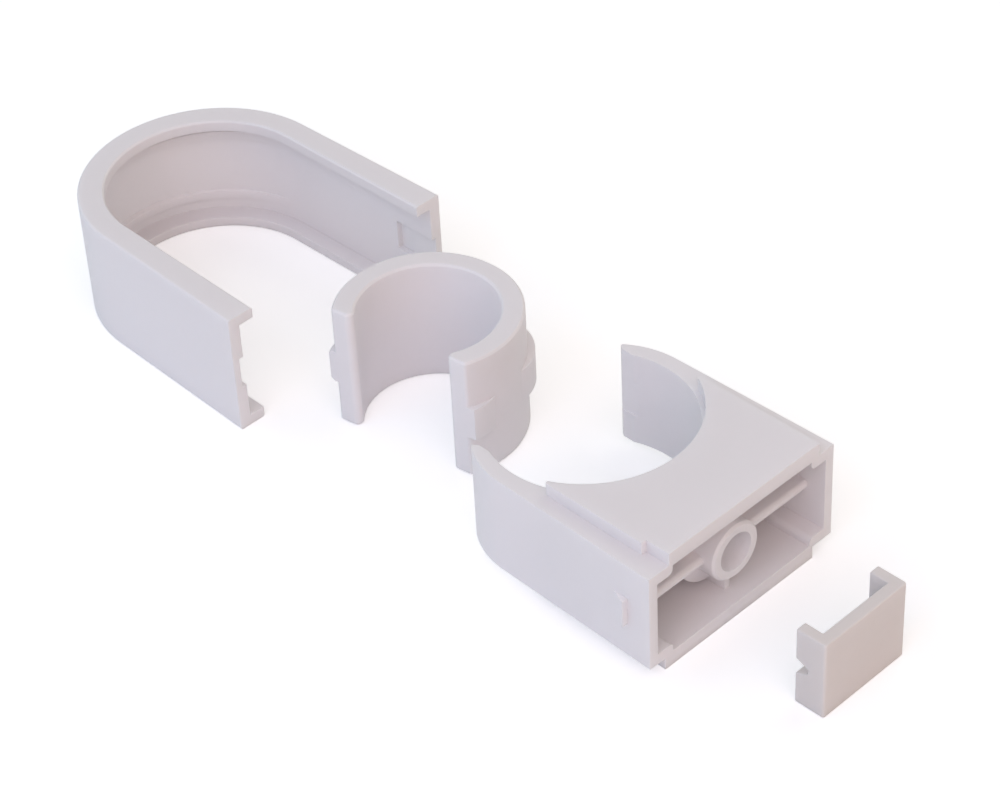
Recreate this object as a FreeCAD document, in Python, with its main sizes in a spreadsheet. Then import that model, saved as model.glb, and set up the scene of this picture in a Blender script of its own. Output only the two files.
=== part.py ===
import FreeCAD, Part
import math
import os

import Sketcher

# Pipe clip: a base with a snap-in cradle, a cover, a ring for a thinner pipe and a rear plug.
# Millimetres. The pieces stand on the floor, z = 0, spread along X in the order they go together.
# x = 0 is the base's rear face, y = 0 its middle, and the pipe runs along Z.

# Driving dimensions
DIMENSIONS = {
    # Base
    "clip_height": 14.7,
    "cradle_radius": 11.05,
    "cradle_distance": 20.3,
    "cradle_wall": 1.2,
    "cradle_side_wall": 1.81,
    "side_taper": 0.46,
    "horn_lead": 2.17,
    "horn_curve": 10.2,
    "horn_tip_slant": 0.75,
    "horn_tip_round": 0.25,
    "edge_step": 1.5,
    "narrow_ledge": 2.17,
    "plate_rim": 0.9,
    "plate_front_lead": 0.7,
    "plate_corner_round": 0.25,
    "wide_ledge": 2.8,
    "wide_ledge_length": 2.95,
    "side_wall": 1.15,
    "plate_wall": 1.8,
    "ledge_wall": 1.3,
    "riser_wall": 0.5,
    "cavity_corner_inset": 2.32,
    "shoulder_round": 0.6,
    "boss_radius": 3.3,
    "boss_setback": 0.9,
    "boss_break": 0.25,
    "boss_root_radius": 4.95,
    "boss_root_setback": 4.0,
    "web_wall": 1.1,
    "web_setback": 2.2,
    "web_edge_round": 0.5,
    "rib_wall": 0.7,
    "rib_setback": 2.05,
    "screw_radius": 2.2,
    "screw_head_radius": 3.6,
    "screw_head_depth": 1.6,
    "nib_rear": 2.95,
    "nib_length": 1.9,
    "nib_rise": 0.72,
    "nib_width": 3.3,
    "guide_depth": 0.2,
    "guide_height": 4.4,
    # Ring
    "ring_fit_gap": 0.1,
    "ring_bore_radius": 7.65,
    "ring_height": 15.0,
    "ring_mouth_offset": 5.4,
    "ring_turn": 10.0,
    "ring_mouth_round": 0.5,
    "ring_mouth_ease": 0.7,
    "ring_rim_break": 0.25,
    "pad_rise": 0.83,
    "pad_span": 25.0,
    "pad_angle": 38.0,
    "pad_height": 4.0,
    "pad_drop": 0.25,
    "pad_edge_break": 0.35,
    # Cover
    "leg_overhang": 0.6,
    "cover_wall": 1.1,
    "cover_side_gap": 0.49,
    "leg_end_gap": 0.45,
    "flange_wall": 1.3,
    "flange_side_gap": 0.35,
    "flange_splay": 0.38,
    "cover_round": 0.3,
    "flange_break": 0.2,
    "leg_end_wall": 1.4,
    "window_skin": 0.85,
    "window_length": 2.1,
    "bridge_length": 0.75,
    "groove_depth": 0.5,
    "groove_half": 3.65,
    "bead_half": 4.6,
    "groove_slant": 0.15,
    "groove_shift": 0.6,
    # Plug
    "plug_half": 5.95,
    "plug_height": 9.5,
    "plug_depth": 3.6,
    "plug_wall": 1.4,
    "ear_wall": 1.27,
    "slit_depth": 1.5,
    "slit_mouth": 1.9,
    "slit_end": 0.6,
    "ear_round": 0.2,
    "plug_round": 0.3,
    # Clearances
    "ring_slide_gap": 0.17,
    "nib_gap": 0.06,
    "catch_play": 0.1,
    "window_side_gap": 0.2,
    # Places at rest
    "ring_advance": 23.4,
    "cover_advance": 58.5,
    "plug_retreat": 15.5,
}

# How far a cut runs on past the material it leaves
OVERRUN = 2.0

# The least height of what counts as an upright edge
UPRIGHT_RUN = 0.2


class Size:
    """A length or angle that carries its number and the sheet formula that it comes from."""

    def __init__(self, value, formula):
        self.value = float(value)
        self.formula = formula

    @staticmethod
    def of(item):
        if isinstance(item, Size):
            return item
        return Size(item, "(%r)" % float(item))

    def join(self, other, sign, value):
        return Size(value, "(%s %s %s)" % (self.formula, sign, other.formula))

    def __add__(self, other):
        other = Size.of(other)
        return self.join(other, "+", self.value + other.value)

    def __sub__(self, other):
        other = Size.of(other)
        return self.join(other, "-", self.value - other.value)

    def __mul__(self, other):
        other = Size.of(other)
        return self.join(other, "*", self.value * other.value)

    def __truediv__(self, other):
        other = Size.of(other)
        return self.join(other, "/", self.value / other.value)

    def __radd__(self, other):
        return Size.of(other) + self

    def __rsub__(self, other):
        return Size.of(other) - self

    def __rmul__(self, other):
        return Size.of(other) * self

    def __neg__(self):
        return Size(-self.value, "(-1 * %s)" % self.formula)


def root(size):
    return Size(math.sqrt(size.value), "sqrt(%s)" % size.formula)


def sine(size):
    return Size(math.sin(math.radians(size.value)), "sin(%s)" % size.formula)


def cosine(size):
    return Size(math.cos(math.radians(size.value)), "cos(%s)" % size.formula)


def other_leg(hypotenuse, leg):
    return root(hypotenuse * hypotenuse - leg * leg)


# Document and sheet
doc = FreeCAD.newDocument("PipeClip")
sheet = doc.addObject("Spreadsheet::Sheet", "Dimensions")
for row, (alias, number) in enumerate(DIMENSIONS.items(), start=1):
    sheet.set("A%d" % row, alias)
    sheet.set("B%d" % row, str(number))
    sheet.setAlias("B%d" % row, alias)
doc.recompute()


def dim(alias):
    return Size(sheet.get(alias), "Dimensions.%s" % alias)


def origin_part(body, role):
    for feature in body.Origin.OriginFeatures:
        if feature.Role == role:
            return feature
    raise ValueError("no origin feature called " + role)


def new_body(name):
    body = doc.addObject("PartDesign::Body", name)
    body.Label = name
    return body


def to(x, y):
    """A straight run to a point."""
    return (Size.of(x), Size.of(y), None, False)


def bend(x, y, centre, clockwise=False):
    """An arc to a point, about a centre."""
    return (Size.of(x), Size.of(y), (Size.of(centre[0]), Size.of(centre[1])), clockwise)


class Profile:
    """A sketch on one of a body's own planes, with every corner placed by sizes."""

    def __init__(self, body, name, plane, lift=None):
        self.body = body
        self.sketch = body.newObject("Sketcher::SketchObject", name)
        self.sketch.AttachmentSupport = [(origin_part(body, plane), "")]
        self.sketch.MapMode = "FlatFace"
        if lift is not None:
            self.sketch.setExpression("AttachmentOffset.Base.z", lift.formula)

    def hold(self, kind, refs, size):
        """Adds one dimension and ties it to the sheet."""
        index = self.sketch.addConstraint(Sketcher.Constraint(kind, *refs, size.value))
        self.sketch.setExpression("Constraints[%d]" % index, size.formula)

    def pin(self, edge, end, x, y):
        """Places the end of an edge."""
        if x is not None:
            self.hold("DistanceX", (-1, 1, edge, end), x)
        if y is not None:
            self.hold("DistanceY", (-1, 1, edge, end), y)

    def loop(self, *moves):
        """Draws a closed loop; the last move comes back to the first one's point."""
        ends = []
        for index, (x, y, centre, clockwise) in enumerate(moves):
            x0, y0 = moves[index - 1][:2]
            tail = FreeCAD.Vector(x0.value, y0.value, 0)
            head = FreeCAD.Vector(x.value, y.value, 0)
            if centre is None:
                edge = self.sketch.addGeometry(Part.LineSegment(tail, head), False)
                ends.append((edge, 1, 2))
                continue
            middle = FreeCAD.Vector(centre[0].value, centre[1].value, 0)
            first, last = (head, tail) if clockwise else (tail, head)
            start = math.atan2(first.y - middle.y, first.x - middle.x)
            stop = math.atan2(last.y - middle.y, last.x - middle.x)
            if stop <= start:
                stop += 2 * math.pi
            circle = Part.Circle(middle, FreeCAD.Vector(0, 0, 1), (head - middle).Length)
            edge = self.sketch.addGeometry(Part.ArcOfCircle(circle, start, stop), False)
            ends.append((edge, 2, 1) if clockwise else (edge, 1, 2))
            # With both ends placed, one coordinate of the centre settles the arc.
            if abs(head.x - tail.x) > abs(head.y - tail.y):
                self.pin(edge, 3, None, centre[1])
            else:
                self.pin(edge, 3, centre[0], None)
        for index, (edge, tail_end, head_end) in enumerate(ends):
            x, y = moves[index][:2]
            self.pin(edge, head_end, x, y)
            after, after_tail = ends[(index + 1) % len(ends)][:2]
            self.sketch.addConstraint(
                Sketcher.Constraint("Coincident", edge, head_end, after, after_tail))

    def circle(self, x, y, radius):
        """Draws a full circle."""
        x, y = Size.of(x), Size.of(y)
        middle = FreeCAD.Vector(x.value, y.value, 0)
        edge = self.sketch.addGeometry(
            Part.Circle(middle, FreeCAD.Vector(0, 0, 1), radius.value), False)
        self.pin(edge, 3, x, y)
        self.hold("Radius", (edge,), radius)

    def block(self, x_low, x_high, y_low, y_high):
        """Draws a rectangle."""
        self.loop(to(x_low, y_low), to(x_high, y_low), to(x_high, y_high), to(x_low, y_high))

    def axis(self, x):
        """Draws an upright construction line to turn a section about."""
        x = Size.of(x)
        line = Part.LineSegment(FreeCAD.Vector(x.value, -1, 0), FreeCAD.Vector(x.value, 1, 0))
        edge = self.sketch.addGeometry(line, True)
        self.pin(edge, 1, x, Size.of(-1))
        self.pin(edge, 2, x, Size.of(1))


def settle(body, feature, grows):
    """Rebuilds the body and makes sure that the feature added or removed material."""
    before = body.Shape.Volume if not body.Shape.isNull() else 0.0
    doc.recompute()
    after = body.Shape.Volume
    if "Invalid" in feature.State or "Error" in feature.State:
        raise RuntimeError("%s can't be built" % feature.Name)
    if grows is not None and (after > before + 1e-6) != grows:
        raise RuntimeError("%s changed nothing: %g, %g" % (feature.Name, before, after))
    return feature


def extrude(kind, profile, name, length, two_sided=True, reverse=False):
    feature = profile.body.newObject("PartDesign::" + kind, name)
    feature.Profile = profile.sketch
    feature.SideType = "Symmetric" if two_sided else "One side"
    feature.Reversed = reverse
    feature.setExpression("Length", length.formula)
    profile.body.Tip = feature
    return settle(profile.body, feature, kind == "Pad")


def pad(profile, name, height, two_sided=True, reverse=False):
    return extrude("Pad", profile, name, height, two_sided, reverse)


def pocket(profile, name, height):
    return extrude("Pocket", profile, name, height)


def turn_out(profile, name, axis):
    """Cuts a section all the way round an axis."""
    feature = profile.body.newObject("PartDesign::Groove", name)
    feature.Profile = profile.sketch
    feature.ReferenceAxis = (profile.sketch, [axis])
    feature.Angle = 360.0
    profile.body.Tip = feature
    return settle(profile.body, feature, False)


def edges_where(shape, wanted):
    """Names the edges of a shape whose middle and box pass a test."""
    names = []
    for index, edge in enumerate(shape.Edges, start=1):
        middle = edge.valueAt((edge.FirstParameter + edge.LastParameter) / 2)
        if wanted(edge, middle):
            names.append("Edge%d" % index)
    if not names:
        raise RuntimeError("no edge to round")
    return names


def dress(kind, body, name, size, wanted):
    """Rounds or breaks the edges that pass a test."""
    base = body.Tip
    feature = body.newObject("PartDesign::" + kind, name)
    feature.Base = (base, edges_where(base.Shape, wanted))
    feature.setExpression("Radius" if kind == "Fillet" else "Size", size.formula)
    body.Tip = feature
    return settle(body, feature, None)


def upright(edge):
    box = edge.BoundBox
    return box.ZLength > UPRIGHT_RUN and box.XLength < 1e-4 and box.YLength < 1e-4


def near(a, b):
    return abs(a - b) < 1e-3


# Values that more than one piece uses
clip_height = dim("clip_height")
cradle_radius = dim("cradle_radius")
cradle_distance = dim("cradle_distance")
base_front_half = cradle_radius + dim("cradle_side_wall")
base_rear_half = base_front_half + dim("side_taper")
plate_half = base_rear_half - dim("narrow_ledge")
side_wall = dim("side_wall")
web_wall = dim("web_wall")
pad_rise = dim("pad_rise")
ring_outer_radius = cradle_radius - dim("ring_fit_gap") - pad_rise
edge_step = dim("edge_step")
nib_rear = dim("nib_rear")
nib_length = dim("nib_length")
nib_width = dim("nib_width")
nib_rise = dim("nib_rise")
nib_tip = base_rear_half + nib_rise - (base_rear_half - base_front_half) * nib_rear / cradle_distance


def base_half(back):
    """Half the base's width a distance ahead of its rear face: the sides taper a little."""
    return base_rear_half - (base_rear_half - base_front_half) * Size.of(back) / cradle_distance


def make_base():
    """The base: cradle, horns, raised plates and hollow rear with its boss and webs."""
    body = new_body("clip_base")
    cradle_wall = dim("cradle_wall")
    horn_curve = dim("horn_curve")
    centre = (-cradle_distance, Size.of(0))

    # Outline of the cradle and side walls, inset from the top and bottom by the step
    mouth_half = ring_outer_radius + dim("ring_slide_gap")
    mouth_reach = other_leg(cradle_radius, mouth_half)
    mouth_start = -(cradle_distance + mouth_reach)
    horn_reach = mouth_reach + dim("horn_lead")
    tip = -(cradle_distance + horn_reach)
    tip_inner = tip + dim("horn_tip_slant")
    horn_middle = base_front_half - horn_curve
    tip_half = horn_middle + other_leg(horn_curve, horn_reach)
    outline = Profile(body, "BaseOutline", "XY_Plane")
    outline.loop(
        to(0, base_rear_half),
        to(-cradle_distance, base_front_half),
        bend(tip, tip_half, (-cradle_distance, horn_middle)),
        to(tip_inner, mouth_half),
        to(mouth_start, mouth_half),
        bend(mouth_start, -mouth_half, centre, clockwise=True),
        to(tip_inner, -mouth_half),
        to(tip, -tip_half),
        bend(-cradle_distance, -base_front_half, (-cradle_distance, -horn_middle)),
        to(0, -base_rear_half),
    )
    pad(outline, "BaseWalls", clip_height - 2 * edge_step)

    # Raised plate, with a wider ledge beside it at one rear corner
    plate_radius = cradle_radius + dim("plate_rim")
    plate_middle = -(cradle_distance + dim("plate_front_lead"))
    plate_corner = plate_middle + other_leg(plate_radius, plate_half)
    jog_half = base_rear_half - dim("wide_ledge")
    jog = -dim("wide_ledge_length")
    plate = Profile(body, "PlateOutline", "XY_Plane")
    plate.loop(
        to(0, plate_half),
        to(plate_corner, plate_half),
        bend(plate_corner, -plate_half, (plate_middle, 0), clockwise=True),
        to(jog, -plate_half),
        to(jog, -jog_half),
        to(0, -jog_half),
    )
    raised = pad(plate, "RaisedPlate", clip_height / 2, two_sided=False)

    # The lower plate is the same one, turned over about the screw's line
    pair = body.newObject("PartDesign::PolarPattern", "PlatePair")
    pair.Originals = [raised]
    pair.Axis = (origin_part(body, "X_Axis"), [""])
    pair.Angle = 360.0
    pair.Occurrences = 2
    body.Tip = pair
    settle(body, pair, True)

    # Hollow rear: wide between the side walls, tall between the plates
    hollow_radius = cradle_radius + cradle_wall
    corner_half = base_rear_half - dim("cavity_corner_inset")
    corner = -(cradle_distance - other_leg(hollow_radius, corner_half))
    corner_wall = base_half(-corner) - side_wall
    rear_inner = base_rear_half - side_wall
    wide = Profile(body, "WideHollow", "XY_Plane")
    wide.loop(
        to(OVERRUN, rear_inner),
        to(0, rear_inner),
        to(corner, corner_wall),
        to(corner, corner_half),
        bend(corner, -corner_half, centre, clockwise=True),
        to(corner, -corner_wall),
        to(0, -rear_inner),
        to(OVERRUN, -rear_inner),
    )
    plate_wall = dim("plate_wall")
    wide_height = clip_height - 2 * edge_step - 2 * dim("ledge_wall")
    pocket(wide, "WideHollowCut", wide_height)

    tall_half = jog_half - dim("riser_wall")
    tall_corner = -(cradle_distance - other_leg(hollow_radius, tall_half))
    tall = Profile(body, "TallHollow", "XY_Plane")
    tall.loop(
        to(OVERRUN, tall_half),
        to(tall_corner, tall_half),
        bend(tall_corner, -tall_half, centre, clockwise=True),
        to(OVERRUN, -tall_half),
    )
    pocket(tall, "TallHollowCut", clip_height - 2 * plate_wall)
    dress("Fillet", body, "HollowShoulders", dim("shoulder_round"),
          lambda edge, middle: near(abs(middle.y), tall_half.value)
          and near(abs(middle.z), wide_height.value / 2))

    # Webs at mid-height, from side wall to side wall
    web_setback = dim("web_setback")
    root_radius = cradle_radius + cradle_wall / 2
    root_corner = -(cradle_distance - other_leg(root_radius, corner_half))
    web = Profile(body, "WebOutline", "XY_Plane")
    web.loop(
        to(-web_setback, base_half(web_setback) - side_wall / 2),
        to(root_corner, base_half(-root_corner) - side_wall / 2),
        to(root_corner, corner_half),
        bend(root_corner, -corner_half, centre, clockwise=True),
        to(root_corner, side_wall / 2 - base_half(-root_corner)),
        to(-web_setback, side_wall / 2 - base_half(web_setback)),
    )
    pad(web, "Webs", web_wall)
    dress("Fillet", body, "WebEdges", dim("web_edge_round"),
          lambda edge, middle: near(middle.x, -web_setback.value)
          and near(abs(middle.z), web_wall.value / 2))

    # Upright ribs above and below the boss
    root_depth = cradle_distance - cradle_radius - cradle_wall / 2
    rib_top = (clip_height - plate_wall) / 2
    rib = Profile(body, "RibOutline", "XZ_Plane")
    rib.block(-root_depth, -dim("rib_setback"), -rib_top, rib_top)
    pad(rib, "Ribs", dim("rib_wall"))

    # Screw boss
    boss_radius = dim("boss_radius")
    boss_setback = dim("boss_setback")
    boss = Profile(body, "BossOutline", "YZ_Plane", -boss_setback)
    boss.circle(0, 0, boss_radius)
    pad(boss, "Boss", root_depth - boss_setback, two_sided=False, reverse=True)
    dress("Chamfer", body, "BossEdge", dim("boss_break"),
          lambda edge, middle: near(middle.x, -boss_setback.value))

    # Wider root of the boss, round the screw's head
    root_setback = dim("boss_root_setback")
    boss_root = Profile(body, "BossRootOutline", "YZ_Plane", -root_setback)
    boss_root.circle(0, 0, dim("boss_root_radius"))
    pad(boss_root, "BossRoot", root_depth - root_setback, two_sided=False, reverse=True)

    # Screw hole, sunk for the head on the cradle's side
    screw_radius = dim("screw_radius")
    head_radius = dim("screw_head_radius")
    cradle_floor = cradle_distance - cradle_radius
    head_end = cradle_distance - other_leg(cradle_radius, head_radius) + OVERRUN
    hole = Profile(body, "ScrewHoleSection", "XZ_Plane")
    hole.loop(
        to(OVERRUN, 0),
        to(OVERRUN, screw_radius),
        to(dim("screw_head_depth") - cradle_floor, screw_radius),
        to(-cradle_floor, head_radius),
        to(-head_end, head_radius),
        to(-head_end, 0),
    )
    turn_out(hole, "ScrewHole", "H_Axis")

    # Catch nibs, steep behind and sloped ahead
    nib = Profile(body, "NibOutline", "XY_Plane")
    nib_front = nib_rear + nib_length
    nib_root = base_half(nib_front) - side_wall / 2
    for side in (1, -1):
        nib.loop(
            to(-nib_rear, side * nib_root),
            to(-nib_rear, side * nib_tip),
            to(-nib_front, side * base_half(nib_front)),
            to(-nib_front, side * nib_root),
        )
    pad(nib, "CatchNibs", nib_width)

    # Rounded plate corners and horn tips
    dress("Fillet", body, "PlateCorners", dim("plate_corner_round"),
          lambda edge, middle: upright(edge) and near(middle.x, plate_corner.value))
    dress("Fillet", body, "HornTips", dim("horn_tip_round"),
          lambda edge, middle: upright(edge) and near(middle.x, tip.value))

    # Shallow guides at mid-height, which let the ring's pads in between the horns
    guide_half = mouth_half + dim("guide_depth")
    guide = Profile(body, "GuideOutline", "XY_Plane")
    guide.block(tip - OVERRUN, -cradle_distance, -guide_half, guide_half)
    pocket(guide, "Guides", dim("guide_height"))

    body.setExpression("Placement.Base.z", (clip_height / 2).formula)
    return body


def make_ring():
    """The ring: a C with four raised pads, two of them cut by its mouth."""
    body = new_body("pipe_insert")
    height = dim("ring_height")
    disc = Profile(body, "RingOutline", "XY_Plane")
    disc.circle(0, 0, ring_outer_radius)
    pad(disc, "RingDisc", height)

    # Each pad is a crescent: an arc through its peak that meets the ring at the ends of its span
    peak = ring_outer_radius + pad_rise
    cos_span = cosine(dim("pad_span"))
    offset = (peak * peak - ring_outer_radius * ring_outer_radius) / (
        2 * (peak - ring_outer_radius * cos_span))
    pad_angle = dim("pad_angle")
    pad_height = dim("pad_height")
    pad_drop = dim("pad_drop")
    for number, turn in enumerate((pad_angle, 180 - pad_angle, 180 + pad_angle, -pad_angle), 1):
        crescent = Profile(body, "PadOutline%d" % number, "XY_Plane", -(pad_height / 2 + pad_drop))
        crescent.circle(offset * cosine(turn), offset * sine(turn), peak - offset)
        pad(crescent, "Pad%d" % number, pad_height, two_sided=False)
    dress("Chamfer", body, "PadEdges", dim("pad_edge_break"),
          lambda edge, middle: near(abs(middle.z + pad_drop.value), pad_height.value / 2)
          and near(math.hypot(middle.x, middle.y), peak.value))

    bore = Profile(body, "BoreOutline", "XY_Plane")
    bore_radius = dim("ring_bore_radius")
    bore.circle(0, 0, bore_radius)
    pocket(bore, "Bore", height + OVERRUN)

    mouth = Profile(body, "MouthOutline", "XY_Plane")
    reach = ring_outer_radius + OVERRUN
    mouth.block(-reach, reach, -reach, -dim("ring_mouth_offset"))
    pocket(mouth, "Mouth", height + OVERRUN)
    mouth_offset = dim("ring_mouth_offset").value
    dress("Fillet", body, "OuterMouthEdges", dim("ring_mouth_round"),
          lambda edge, middle: upright(edge) and near(middle.y, -mouth_offset)
          and near(math.hypot(middle.x, middle.y), ring_outer_radius.value))
    dress("Fillet", body, "InnerMouthEdges", dim("ring_mouth_ease"),
          lambda edge, middle: upright(edge) and near(middle.y, -mouth_offset)
          and near(math.hypot(middle.x, middle.y), bore_radius.value))
    dress("Chamfer", body, "RingRims", dim("ring_rim_break"),
          lambda edge, middle: near(abs(middle.z), height.value / 2))

    body.Placement = FreeCAD.Placement(
        FreeCAD.Vector(0, 0, 0), FreeCAD.Rotation(FreeCAD.Vector(0, 0, 1), 1))
    body.setExpression("Placement.Rotation.Angle", dim("ring_turn").formula)
    body.setExpression("Placement.Base.x", (-(cradle_distance + dim("ring_advance"))).formula)
    body.setExpression("Placement.Base.z", (height / 2).formula)
    return body


def make_cover():
    """The cover: a U-shaped channel, flanged inwards, with a catch window near each leg's end."""
    body = new_body("clip_cover")
    arm = cradle_distance + dim("leg_overhang")
    wall = dim("cover_wall")
    end_wall = dim("leg_end_wall")
    inner_radius = base_front_half + dim("cover_side_gap")
    radius = inner_radius + wall
    end_half = base_rear_half + dim("leg_end_gap") + end_wall
    middle = (Size.of(0), Size.of(0))

    outline = Profile(body, "CoverOutline", "XY_Plane")
    outline.loop(
        to(arm, end_half),
        to(0, radius),
        bend(0, -radius, middle),
        to(arm, -end_half),
    )
    pad(outline, "CoverBlock", clip_height)

    # Opening between the flanges
    flange_radius = plate_half + dim("flange_side_gap")
    flange_end = flange_radius + dim("flange_splay")
    opening = Profile(body, "FlangeOutline", "XY_Plane")
    opening.loop(
        to(arm, flange_end),
        to(0, flange_radius),
        bend(0, -flange_radius, middle),
        to(arm, -flange_end),
        to(arm + OVERRUN, -flange_end),
        to(arm + OVERRUN, flange_end),
    )
    pocket(opening, "FlangeOpening", clip_height + OVERRUN)

    # Channel behind the flanges; its walls thicken a little towards the legs' ends
    channel = Profile(body, "ChannelOutline", "XY_Plane")
    channel.loop(
        to(arm, end_half - end_wall),
        to(0, inner_radius),
        bend(0, -inner_radius, middle),
        to(arm, end_wall - end_half),
        to(arm + OVERRUN, end_wall - end_half),
        to(arm + OVERRUN, end_half - end_wall),
    )
    flange_wall = dim("flange_wall")
    pocket(channel, "Channel", clip_height - 2 * flange_wall)

    # Catch window on the inside of each leg, with a bridge behind it and a sloped lead-in
    floor = end_half - dim("window_skin")
    bridge = nib_tip + dim("nib_gap")
    window_rear = cradle_distance - nib_rear + dim("catch_play")
    window_front = window_rear - dim("window_length")
    bridge_rear = window_rear + dim("bridge_length")
    recess = Profile(body, "CatchOutline", "XY_Plane")
    for side in (1, -1):
        recess.loop(
            to(window_front, side * flange_end),
            to(window_front, side * floor),
            to(window_rear, side * floor),
            to(window_rear, side * bridge),
            to(bridge_rear, side * bridge),
            to(arm, side * floor),
            to(arm + OVERRUN, side * floor),
            to(arm + OVERRUN, side * flange_end),
        )
    pocket(recess, "CatchRecesses", nib_width + 2 * dim("window_side_gap"))

    # Two low beads round the bend, left between a middle groove and one beside each flange;
    # the grooves run out towards the legs
    depth = dim("groove_depth")
    groove_half = dim("groove_half")
    groove_foot = groove_half - dim("groove_slant")
    bead_half = dim("bead_half")
    bead_foot = bead_half + dim("groove_slant")
    flange_face = clip_height / 2 - flange_wall
    crown = -(inner_radius + depth)
    skin = -inner_radius
    free = skin + depth
    section = Profile(body, "GrooveSection", "XZ_Plane")
    section.loop(
        to(free, -groove_half),
        to(skin, -groove_half),
        to(crown, -groove_foot),
        to(crown, groove_foot),
        to(skin, groove_half),
        to(free, groove_half),
    )
    for side in (1, -1):
        section.loop(
            to(free, side * bead_half),
            to(skin, side * bead_half),
            to(crown, side * bead_foot),
            to(crown, side * flange_face),
            to(free, side * flange_face),
        )
    section.axis(-dim("groove_shift"))
    turn_out(section, "Grooves", "Axis0")

    # Softened edges, outside and round the opening
    def on_face(edge, spot):
        return near(abs(spot.z), clip_height.value / 2) and not near(spot.x, arm.value)

    def outside(spot):
        return abs(spot.y) > radius.value - 1e-3 or (
            spot.x < 0 and near(math.hypot(spot.x, spot.y), radius.value))

    dress("Fillet", body, "OuterEdges", dim("cover_round"),
          lambda edge, spot: on_face(edge, spot) and outside(spot))
    dress("Chamfer", body, "InnerEdges", dim("flange_break"),
          lambda edge, spot: on_face(edge, spot) and not outside(spot)
          and abs(spot.y) < flange_end.value)

    # Once pushed home, the cover's bend lies round the cradle
    body.setExpression("Placement.Base.x", (-(cradle_distance + dim("cover_advance"))).formula)
    body.setExpression("Placement.Base.z", (clip_height / 2).formula)
    return body


def make_plug():
    """The plug: a plate with two slit ears that reach round the boss and over the webs."""
    body = new_body("rear_plug")
    half = dim("plug_half")
    height = dim("plug_height")
    depth = dim("plug_depth")
    wall = dim("plug_wall")
    inner = half - dim("ear_wall")
    outline = Profile(body, "PlugOutline", "XY_Plane")
    outline.loop(
        to(0, half),
        to(-depth, half),
        to(-depth, inner),
        to(-wall, inner),
        to(-wall, -inner),
        to(-depth, -inner),
        to(-depth, -half),
        to(0, -half),
    )
    pad(outline, "PlugBlock", height)

    slit_end = depth - dim("slit_depth")
    slit = Profile(body, "SlitOutline", "XZ_Plane")
    mouth_half = dim("slit_mouth") / 2
    end_half = dim("slit_end") / 2
    flare = (mouth_half - end_half) * OVERRUN / dim("slit_depth")
    slit.loop(
        to(-slit_end, end_half),
        to(-(depth + OVERRUN), mouth_half + flare),
        to(-(depth + OVERRUN), -(mouth_half + flare)),
        to(-slit_end, -end_half),
    )
    pocket(slit, "Slits", 2 * half + OVERRUN)

    # Rounded ear corners and softened plate edges
    dress("Fillet", body, "EarCorners", dim("ear_round"),
          lambda edge, spot: near(spot.x, -depth.value) and near(abs(spot.z), height.value / 2))
    dress("Fillet", body, "PlateEdges", dim("plug_round"),
          lambda edge, spot: near(spot.x, 0) and upright(edge))

    body.setExpression("Placement.Base.x", dim("plug_retreat").formula)
    body.setExpression("Placement.Base.z", (height / 2).formula)
    return body


pieces = [make_base(), make_ring(), make_cover(), make_plug()]
doc.recompute()

# Nothing is written unless every object is sound
for item in doc.Objects:
    if "Invalid" in item.State or "Error" in item.State:
        raise RuntimeError("%s is not sound: %s" % (item.Name, item.State))
for piece in pieces:
    if piece.Shape.isNull() or not piece.Shape.isValid():
        raise RuntimeError("%s has no sound shape" % piece.Label)
    if len(piece.Shape.Solids) != 1:
        raise RuntimeError("%s is not one solid" % piece.Label)

os.makedirs("parts", exist_ok=True)
for piece in pieces:
    piece.Shape.exportStep(os.path.join("parts", piece.Label + ".step"))
    box = piece.Shape.BoundBox
    print("%-12s volume %8.1f  x %.2f %.2f  y %.2f %.2f  z %.2f %.2f" % (
        piece.Label, piece.Shape.Volume, box.XMin, box.XMax, box.YMin, box.YMax, box.ZMin, box.ZMax))
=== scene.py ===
"""Looks of a moulded pipe clip: its base, ring, cover and rear plug in the order they go together."""

import logging
import math
from dataclasses import dataclass, field
from enum import Enum
from typing import Any, Mapping, Sequence

import bmesh
import bpy
from mathutils import Matrix, Vector


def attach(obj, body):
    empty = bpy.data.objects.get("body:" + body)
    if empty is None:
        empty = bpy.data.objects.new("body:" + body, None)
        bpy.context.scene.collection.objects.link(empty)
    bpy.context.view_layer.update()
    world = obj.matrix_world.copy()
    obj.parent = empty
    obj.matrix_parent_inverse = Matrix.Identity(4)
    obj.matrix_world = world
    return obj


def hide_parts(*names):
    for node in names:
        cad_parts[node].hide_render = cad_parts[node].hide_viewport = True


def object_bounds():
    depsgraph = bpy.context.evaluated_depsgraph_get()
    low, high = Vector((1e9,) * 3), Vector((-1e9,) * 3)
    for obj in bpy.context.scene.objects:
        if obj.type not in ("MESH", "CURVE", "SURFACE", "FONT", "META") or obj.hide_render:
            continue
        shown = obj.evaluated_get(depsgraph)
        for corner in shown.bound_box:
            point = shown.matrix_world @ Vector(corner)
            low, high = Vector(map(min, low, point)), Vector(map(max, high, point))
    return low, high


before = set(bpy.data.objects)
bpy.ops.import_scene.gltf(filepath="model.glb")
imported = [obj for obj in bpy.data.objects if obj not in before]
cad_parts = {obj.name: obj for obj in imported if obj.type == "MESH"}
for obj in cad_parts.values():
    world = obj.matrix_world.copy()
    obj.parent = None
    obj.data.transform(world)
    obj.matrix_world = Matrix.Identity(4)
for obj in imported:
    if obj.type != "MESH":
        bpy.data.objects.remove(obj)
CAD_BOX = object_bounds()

LOG = logging.getLogger("pipe_clip")
MM = 0.001
Colour = tuple[float, float, float]


class Spread(Enum):
    """How the tone of a moulding drifts, as the pattern's scale along X, Y and Z."""

    CLOUDY = (1.0, 1.0, 1.0)
    DRAWN = (0.25, 1.0, 1.0)


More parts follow.
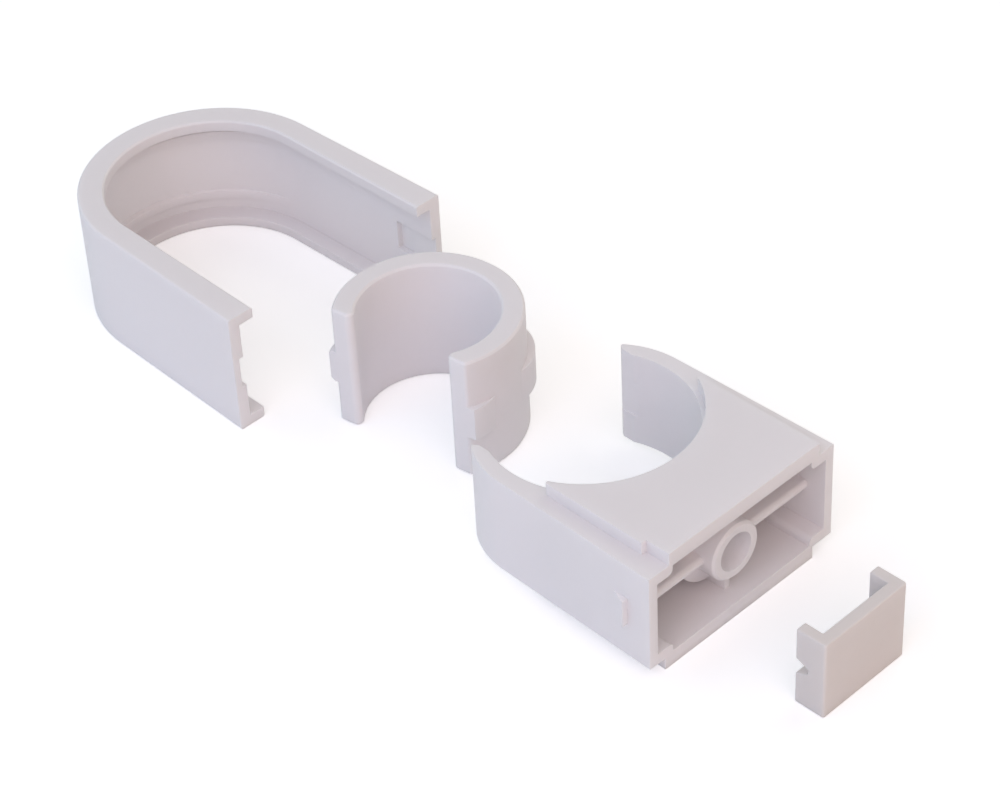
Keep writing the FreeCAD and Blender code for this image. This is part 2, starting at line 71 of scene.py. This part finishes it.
class Signal:
    """A shader socket that takes part in Python expressions."""

    def __init__(self, sheet: "ShaderSheet", socket: bpy.types.NodeSocket) -> None:
        """Wraps an output socket.

        Args:
            sheet: The material's nodes, to which results are added.
            socket: The output that carries the number.
        """
        self.sheet = sheet
        self.socket = socket

    def _with(self, operation: str, first: "Signal | float", second: "Signal | float") -> "Signal":
        """Adds one Math node and returns its result."""
        node = self.sheet.add("ShaderNodeMath", {"operation": operation}, {0: first, 1: second})
        return Signal(self.sheet, node.outputs[0])

    def __add__(self, other: "Signal | float") -> "Signal":
        """Returns the sum."""
        return self._with("ADD", self, other)

    __radd__ = __add__

    def __mul__(self, other: "Signal | float") -> "Signal":
        """Returns the product."""
        return self._with("MULTIPLY", self, other)

    __rmul__ = __mul__


class ShaderSheet:
    """The nodes of one material, or of the surround."""

    def __init__(self, owner: bpy.types.Material | bpy.types.World) -> None:
        """Empties the owner's nodes.

        Args:
            owner: The material or surround that the nodes belong to.
        """
        self.owner = owner
        owner.use_nodes = True
        self.tree = owner.node_tree
        self.tree.nodes.clear()

    def add(self, kind: str, settings: Mapping[str, Any] | None = None,
            inputs: Mapping[str | int, Any] | None = None) -> bpy.types.Node:
        """Adds a node.

        Args:
            kind: The node's type.
            settings: Its own settings, which are set first.
            inputs: Values, signals or sockets for its inputs.

        Returns:
            The new node.
        """
        node = self.tree.nodes.new(kind)
        for key, value in (settings or {}).items():
            setattr(node, key, value)
        for key, value in (inputs or {}).items():
            if isinstance(value, Signal):
                value = value.socket
            if isinstance(value, bpy.types.NodeSocket):
                self.tree.links.new(value, node.inputs[key])
            else:
                node.inputs[key].default_value = value
        return node

    def noise(self, place: bpy.types.NodeSocket, size: float, detail: float = 2.0) -> Signal:
        """Adds a noise whose lumps are about one size across.

        Args:
            place: The coordinates that it reads.
            size: The lumps' size in metres.
            detail: How many finer layers it has.

        Returns:
            The noise, from 0 to 1.
        """
        node = self.add("ShaderNodeTexNoise", {"noise_dimensions": "3D"},
                        {"Vector": place, "Scale": 1.0 / size, "Detail": detail})
        return Signal(self, node.outputs["Fac"])


@dataclass(frozen=True)
class SatinPlastic:
    """White plastic out of a finely eroded mould.

    Attributes:
        name: The material's name.
        tone: Its colour.
        deep_tone: The colour that its darker drifts lean to.
        roughness: Its mean roughness.
        roughness_drift: How far the roughness wanders.
        grain: Size of the mould's grain, in metres.
        grain_depth: Depth of that grain, in metres.
        wave_size: Size of the slow waves that cooling leaves, in metres.
        wave_depth: Depth of those waves, in metres.
        drift_size: Size of the patches in which its tone drifts, in metres.
        drift_share: Their share in the tone; the specks have the rest.
        speck_size: Size of its finest specks, in metres.
        glow: How much of its light passes through thin walls.
        glow_depth: How deep that light goes, in metres.
        glow_reach: How far red, green and blue go in, as shares of that depth.
        refraction: Its index of refraction.
        spread: How its tone drifts.
    """

    name: str
    tone: Colour
    deep_tone: Colour
    roughness: float = 0.42
    roughness_drift: float = 0.12
    grain: float = 0.12 * MM
    grain_depth: float = 0.004 * MM
    wave_size: float = 5.0 * MM
    wave_depth: float = 0.02 * MM
    drift_size: float = 9.0 * MM
    drift_share: float = 0.75
    speck_size: float = 0.7 * MM
    glow: float = 0.4
    glow_depth: float = 2.0 * MM
    glow_reach: Colour = (1.0, 0.95, 0.95)
    refraction: float = 1.49
    spread: Spread = Spread.CLOUDY

    def material(self) -> bpy.types.Material:
        """Builds the material.

        Returns:
            The finished material.
        """
        sheet = ShaderSheet(bpy.data.materials.new(self.name))
        place = sheet.add("ShaderNodeTexCoord").outputs["Object"]
        drawn = sheet.add("ShaderNodeMapping", {"vector_type": "POINT"},
                          {"Vector": place, "Scale": self.spread.value}).outputs["Vector"]
        drift = sheet.noise(drawn, self.drift_size)
        speck = sheet.noise(place, self.speck_size, 3.0)
        blend = drift * self.drift_share + speck * (1.0 - self.drift_share)
        colour = sheet.add("ShaderNodeMix", {"data_type": "RGBA"},
                           {"Factor": blend, 6: (*self.tone, 1.0), 7: (*self.deep_tone, 1.0)})
        rough = (drift + speck) * self.roughness_drift + (self.roughness - self.roughness_drift)
        height = sheet.noise(place, self.grain) * self.grain_depth
        waves = sheet.noise(place, self.wave_size, 1.0) * self.wave_depth
        bump = sheet.add("ShaderNodeBump", {}, {
            "Strength": 1.0, "Distance": 1.0, "Height": height + waves})
        shader = sheet.add("ShaderNodeBsdfPrincipled", {}, {
            "Base Color": colour.outputs[2], "Roughness": rough, "IOR": self.refraction,
            "Subsurface Weight": self.glow, "Subsurface Scale": self.glow_depth,
            "Subsurface Radius": self.glow_reach, "Normal": bump.outputs["Normal"]})
        sheet.add("ShaderNodeOutputMaterial", {}, {"Surface": shader.outputs[0]})
        return sheet.owner


@dataclass
class Moulding:
    """One moulded piece, taken from its solid with every sharp corner broken.

    Attributes:
        node: The solid's name.
        body: The body that it moves with.
        slot: The name of its material slot; not used.
        finish: Its plastic.
        corner: How wide its corners are broken at most, in metres; short edges limit it.
        keep_angle: Corners blunter than this stay as they are, in degrees.
        merge_gap: Points closer than this become one, in metres.
        flat_angle: Neighbouring faces turned by less than this become one, in degrees.
    """

    node: str
    body: str
    slot: str
    finish: SatinPlastic
    corner: float = 0.15 * MM
    keep_angle: float = 28.0
    merge_gap: float = 0.002 * MM
    flat_angle: float = 0.6

    def shape(self) -> bpy.types.Mesh:
        """Copies the solid's mesh, merges it and joins its flat faces.

        Returns:
            The new mesh.
        """
        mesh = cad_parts[self.node].data.copy()
        work = bmesh.new()
        work.from_mesh(mesh)
        bmesh.ops.remove_doubles(work, verts=work.verts, dist=self.merge_gap)
        bmesh.ops.dissolve_limit(work, angle_limit=math.radians(self.flat_angle), verts=work.verts,
                                 edges=work.edges)
        work.to_mesh(mesh)
        work.free()
        mesh.name = self.node + "_moulding"
        mesh.materials.clear()
        return mesh

    def build(self) -> bpy.types.Object:
        """Builds the piece and hands it to the frame.

        Returns:
            The finished object.
        """
        mesh = self.shape()
        mesh.materials.append(self.finish.material())
        mesh.polygons.foreach_set("use_smooth", [True] * len(mesh.polygons))
        piece = bpy.data.objects.new(self.node + "_moulding", mesh)
        bpy.context.collection.objects.link(piece)
        bevel = piece.modifiers.new("BrokenCorners", "BEVEL")
        bevel.width = self.corner
        bevel.segments = 3
        bevel.profile = 0.5
        bevel.limit_method = "ANGLE"
        bevel.angle_limit = math.radians(self.keep_angle)
        weigh = piece.modifiers.new("FlatFaces", "WEIGHTED_NORMAL")
        weigh.mode = "FACE_AREA"
        weigh.keep_sharp = True
        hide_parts(self.node)
        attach(piece, self.body)
        LOG.info("%s: %d faces before its corners", piece.name, len(mesh.polygons))
        return piece


@dataclass
class Softbox:
    """A large soft lamp.

    Attributes:
        name: Its name.
        azimuth: Where it stands round the object, in degrees from -Y towards +X.
        height: Its angle above the floor, in degrees.
        power: Its power in watts.
        colour: Its colour.
        size: Its width in metres.
        distance: How far it stands from the object, in metres.
    """

    name: str
    azimuth: float
    height: float
    power: float
    colour: Colour
    size: float = 0.5
    distance: float = 0.8

    def place(self, target: Vector) -> None:
        """Puts the lamp up, turned to a point.

        Args:
            target: The point that it lights.
        """
        around, above = math.radians(self.azimuth), math.radians(self.height)
        way = Vector((math.sin(around) * math.cos(above), -math.cos(around) * math.cos(above),
                      math.sin(above)))
        light = bpy.data.lights.new(self.name, "AREA")
        light.shape = "SQUARE"
        light.size = self.size
        light.energy = self.power
        light.color = self.colour
        lamp = bpy.data.objects.new(self.name, light)
        lamp.location = target + way * self.distance
        lamp.rotation_mode = "QUATERNION"
        lamp.rotation_quaternion = way.to_track_quat("Z", "Y")
        bpy.context.collection.objects.link(lamp)


@dataclass
class Studio:
    """Pale floor, soft lamps and the camera at the photograph's place.

    Attributes:
        floor_half: Half the floor's width, in metres.
        camera_place: Where the camera stands, in metres.
        heading: The way it looks, in degrees from +X towards +Y.
        pitch: How far it looks down, in degrees.
        roll: Its roll, in degrees.
        focal_px: Its focal length in pixels of the photograph.
        frame_px: The photograph's width and height in pixels.
        axis_px: Where the camera's axis meets the photograph, in pixels.
        sensor_mm: The width of the camera's sensor, in millimetres.
        clip_range: The nearest and farthest that the camera sees, in metres.
        sky_tone: The colour of the light from all round.
        sky_strength: Its strength.
        floor_tone: The floor's grey.
        floor_lift: How much whiter than lit the camera sees the floor.
        lamps: The lamps.
    """

    floor_half: float = 3.0
    camera_place: tuple[float, float, float] = (0.142862, -0.163171, 0.206095)
    heading: float = 136.805
    pitch: float = 39.666
    roll: float = -2.947
    focal_px: float = 3015.9
    frame_px: tuple[int, int] = (1000, 786)
    axis_px: tuple[float, float] = (517.43, 410.64)
    sensor_mm: float = 36.0
    clip_range: tuple[float, float] = (0.01, 20.0)
    sky_tone: Colour = (0.97, 1.0, 0.97)
    sky_strength: float = 0.25
    floor_tone: float = 0.93
    floor_lift: float = 0.32
    lamps: Sequence[Softbox] = field(default_factory=lambda: (
        Softbox("CameraLamp", 46.0, 42.0, 3.5, (1.0, 0.85, 0.9), size=0.9),
        Softbox("NearLamp", -10.0, 34.0, 1.35, (0.25, 0.6, 1.0), size=0.7),
        Softbox("RearLamp", 96.0, 22.0, 0.6, (1.0, 0.55, 0.15), size=0.7),
        Softbox("LeftLamp", -70.0, 35.0, 1.6, (1.0, 1.0, 1.0), size=0.9),
        Softbox("BackLamp", 180.0, 40.0, 2.0, (1.0, 1.0, 1.0), size=0.9),
    ))

    def build_floor(self) -> None:
        """Lays the floor, white to the camera and keeping the object's shadow."""
        work = bmesh.new()
        bmesh.ops.create_grid(work, x_segments=1, y_segments=1, size=self.floor_half)
        mesh = bpy.data.meshes.new("Floor")
        work.to_mesh(mesh)
        work.free()
        floor = bpy.data.objects.new("Floor", mesh)
        bpy.context.collection.objects.link(floor)
        sheet = ShaderSheet(bpy.data.materials.new("FloorPaint"))
        paint = sheet.add("ShaderNodeBsdfDiffuse", {}, {
            "Color": (self.floor_tone, self.floor_tone, self.floor_tone, 1.0)})
        glow = sheet.add("ShaderNodeEmission", {}, {
            "Color": (1.0, 1.0, 1.0, 1.0), "Strength": self.floor_lift})
        lit = sheet.add("ShaderNodeAddShader", {}, {0: paint.outputs[0], 1: glow.outputs[0]})
        seen = sheet.add("ShaderNodeLightPath").outputs["Is Camera Ray"]
        mixed = sheet.add("ShaderNodeMixShader", {}, {
            0: seen, 1: paint.outputs[0], 2: lit.outputs[0]})
        sheet.add("ShaderNodeOutputMaterial", {}, {"Surface": mixed.outputs[0]})
        mesh.materials.append(sheet.owner)

    def build_sky(self) -> None:
        """Gives the world soft light, and a white background where it is seen."""
        sheet = ShaderSheet(bpy.data.worlds.new("Surround"))
        bpy.context.scene.world = sheet.owner
        seen = sheet.add("ShaderNodeLightPath").outputs["Is Camera Ray"]
        soft = sheet.add("ShaderNodeBackground", {}, {
            "Color": (*self.sky_tone, 1.0), "Strength": self.sky_strength})
        white = sheet.add("ShaderNodeBackground", {}, {
            "Color": (1.0, 1.0, 1.0, 1.0), "Strength": 1.0})
        mixed = sheet.add("ShaderNodeMixShader", {}, {
            0: seen, 1: soft.outputs[0], 2: white.outputs[0]})
        sheet.add("ShaderNodeOutputWorld", {}, {"Surface": mixed.outputs[0]})

    def build_camera(self) -> None:
        """Sets the camera up as the photograph was taken."""
        heading, pitch, roll = (math.radians(a) for a in (self.heading, self.pitch, self.roll))
        ahead = Vector((math.cos(heading) * math.cos(pitch), math.sin(heading) * math.cos(pitch),
                        -math.sin(pitch)))
        level = Vector((math.sin(heading), -math.cos(heading), 0.0))
        upright = level.cross(ahead)
        right = level * math.cos(roll) + upright * math.sin(roll)
        up = upright * math.cos(roll) - level * math.sin(roll)
        data = bpy.data.cameras.new("PhotoCamera")
        data.sensor_fit = "HORIZONTAL"
        data.sensor_width = self.sensor_mm
        width, height = self.frame_px
        data.lens = self.focal_px / width * data.sensor_width
        data.shift_x = (width / 2 - self.axis_px[0]) / width
        data.shift_y = (self.axis_px[1] - height / 2) / width
        data.clip_start, data.clip_end = self.clip_range
        camera = bpy.data.objects.new("PhotoCamera", data)
        axes = Matrix((right, up, -ahead)).transposed().to_4x4()
        camera.matrix_world = Matrix.Translation(self.camera_place) @ axes
        bpy.context.collection.objects.link(camera)
        bpy.context.scene.camera = camera

    def build(self) -> None:
        """Builds the floor, the surround, the lamps and the camera."""
        self.build_floor()
        self.build_sky()
        low, high = CAD_BOX
        for lamp in self.lamps:
            lamp.place((low + high) / 2)
        self.build_camera()
        bpy.context.scene.view_settings.view_transform = "Standard"


def main() -> None:
    """Builds the studio and the four mouldings."""
    logging.basicConfig(level=logging.INFO, format="%(name)s: %(message)s")
    white = SatinPlastic("SatinWhite", (0.83, 0.80, 0.81), (0.80, 0.765, 0.775))
    drawn_white = SatinPlastic("DrawnWhite", white.tone, white.deep_tone, spread=Spread.DRAWN)
    soft_white = SatinPlastic("SoftWhite", (0.73, 0.68, 0.66), (0.69, 0.64, 0.615), roughness=0.5)
    mouldings = (
        Moulding("clip_base", "base", "base_plastic", white),
        Moulding("pipe_insert", "ring", "ring_plastic", white),
        Moulding("clip_cover", "cover", "cover_plastic", drawn_white),
        Moulding("rear_plug", "plug", "plug_plastic", soft_white),
    )
    for moulding in mouldings:
        moulding.build()
    Studio().build()


if __name__ == "__main__":
    main()
